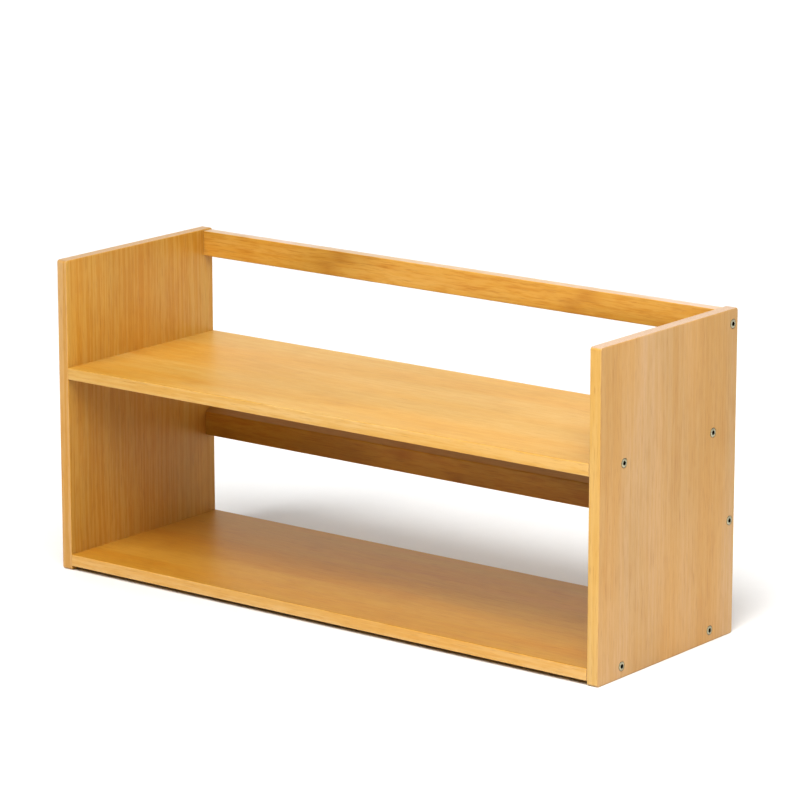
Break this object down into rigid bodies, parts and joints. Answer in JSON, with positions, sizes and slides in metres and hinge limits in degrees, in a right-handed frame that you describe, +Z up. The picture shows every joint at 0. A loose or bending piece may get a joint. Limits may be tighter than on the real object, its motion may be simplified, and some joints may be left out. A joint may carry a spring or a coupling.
{
  "type": "desk hutch",
  "caption": "Two-tier bamboo desk hutch with solid sides, two open shelves and rear stop rails, screwed together.",
  "frame": {"origin": "middle of the footprint on the desk, midway between the side panels and midway front to back", "axes": "+X to the right along the shelves, +Y to the back where the rails are, +Z up; the open front faces -Y"},
  "size_m": [0.501, 0.17, 0.2415],
  "materials": {
    "bamboo_panel": "clear satin lacquer on laminated bamboo, grain upright",
    "bamboo_shelf": "clear satin lacquer on laminated bamboo, grain along the width",
    "bamboo_rail": "clear satin lacquer on bamboo strip, grain along the width",
    "nickel_screw": "nickel-plated steel"
  },
  "bodies": {
    "root": {"left_side_panel": "bamboo_panel", "right_side_panel": "bamboo_panel", "upper_shelf": "bamboo_shelf", "lower_shelf": "bamboo_shelf", "top_rear_rail": "bamboo_rail", "middle_rear_rail": "bamboo_rail", "left_screw_upper_shelf_front": "nickel_screw", "left_screw_upper_shelf_back": "nickel_screw", "left_screw_lower_shelf_front": "nickel_screw", "left_screw_lower_shelf_back": "nickel_screw", "left_screw_top_rear_rail": "nickel_screw", "left_screw_middle_rear_rail": "nickel_screw", "right_screw_upper_shelf_front": "nickel_screw", "right_screw_upper_shelf_back": "nickel_screw", "right_screw_lower_shelf_front": "nickel_screw", "right_screw_lower_shelf_back": "nickel_screw", "right_screw_top_rear_rail": "nickel_screw", "right_screw_middle_rear_rail": "nickel_screw"}
  },
  "joints": []
}
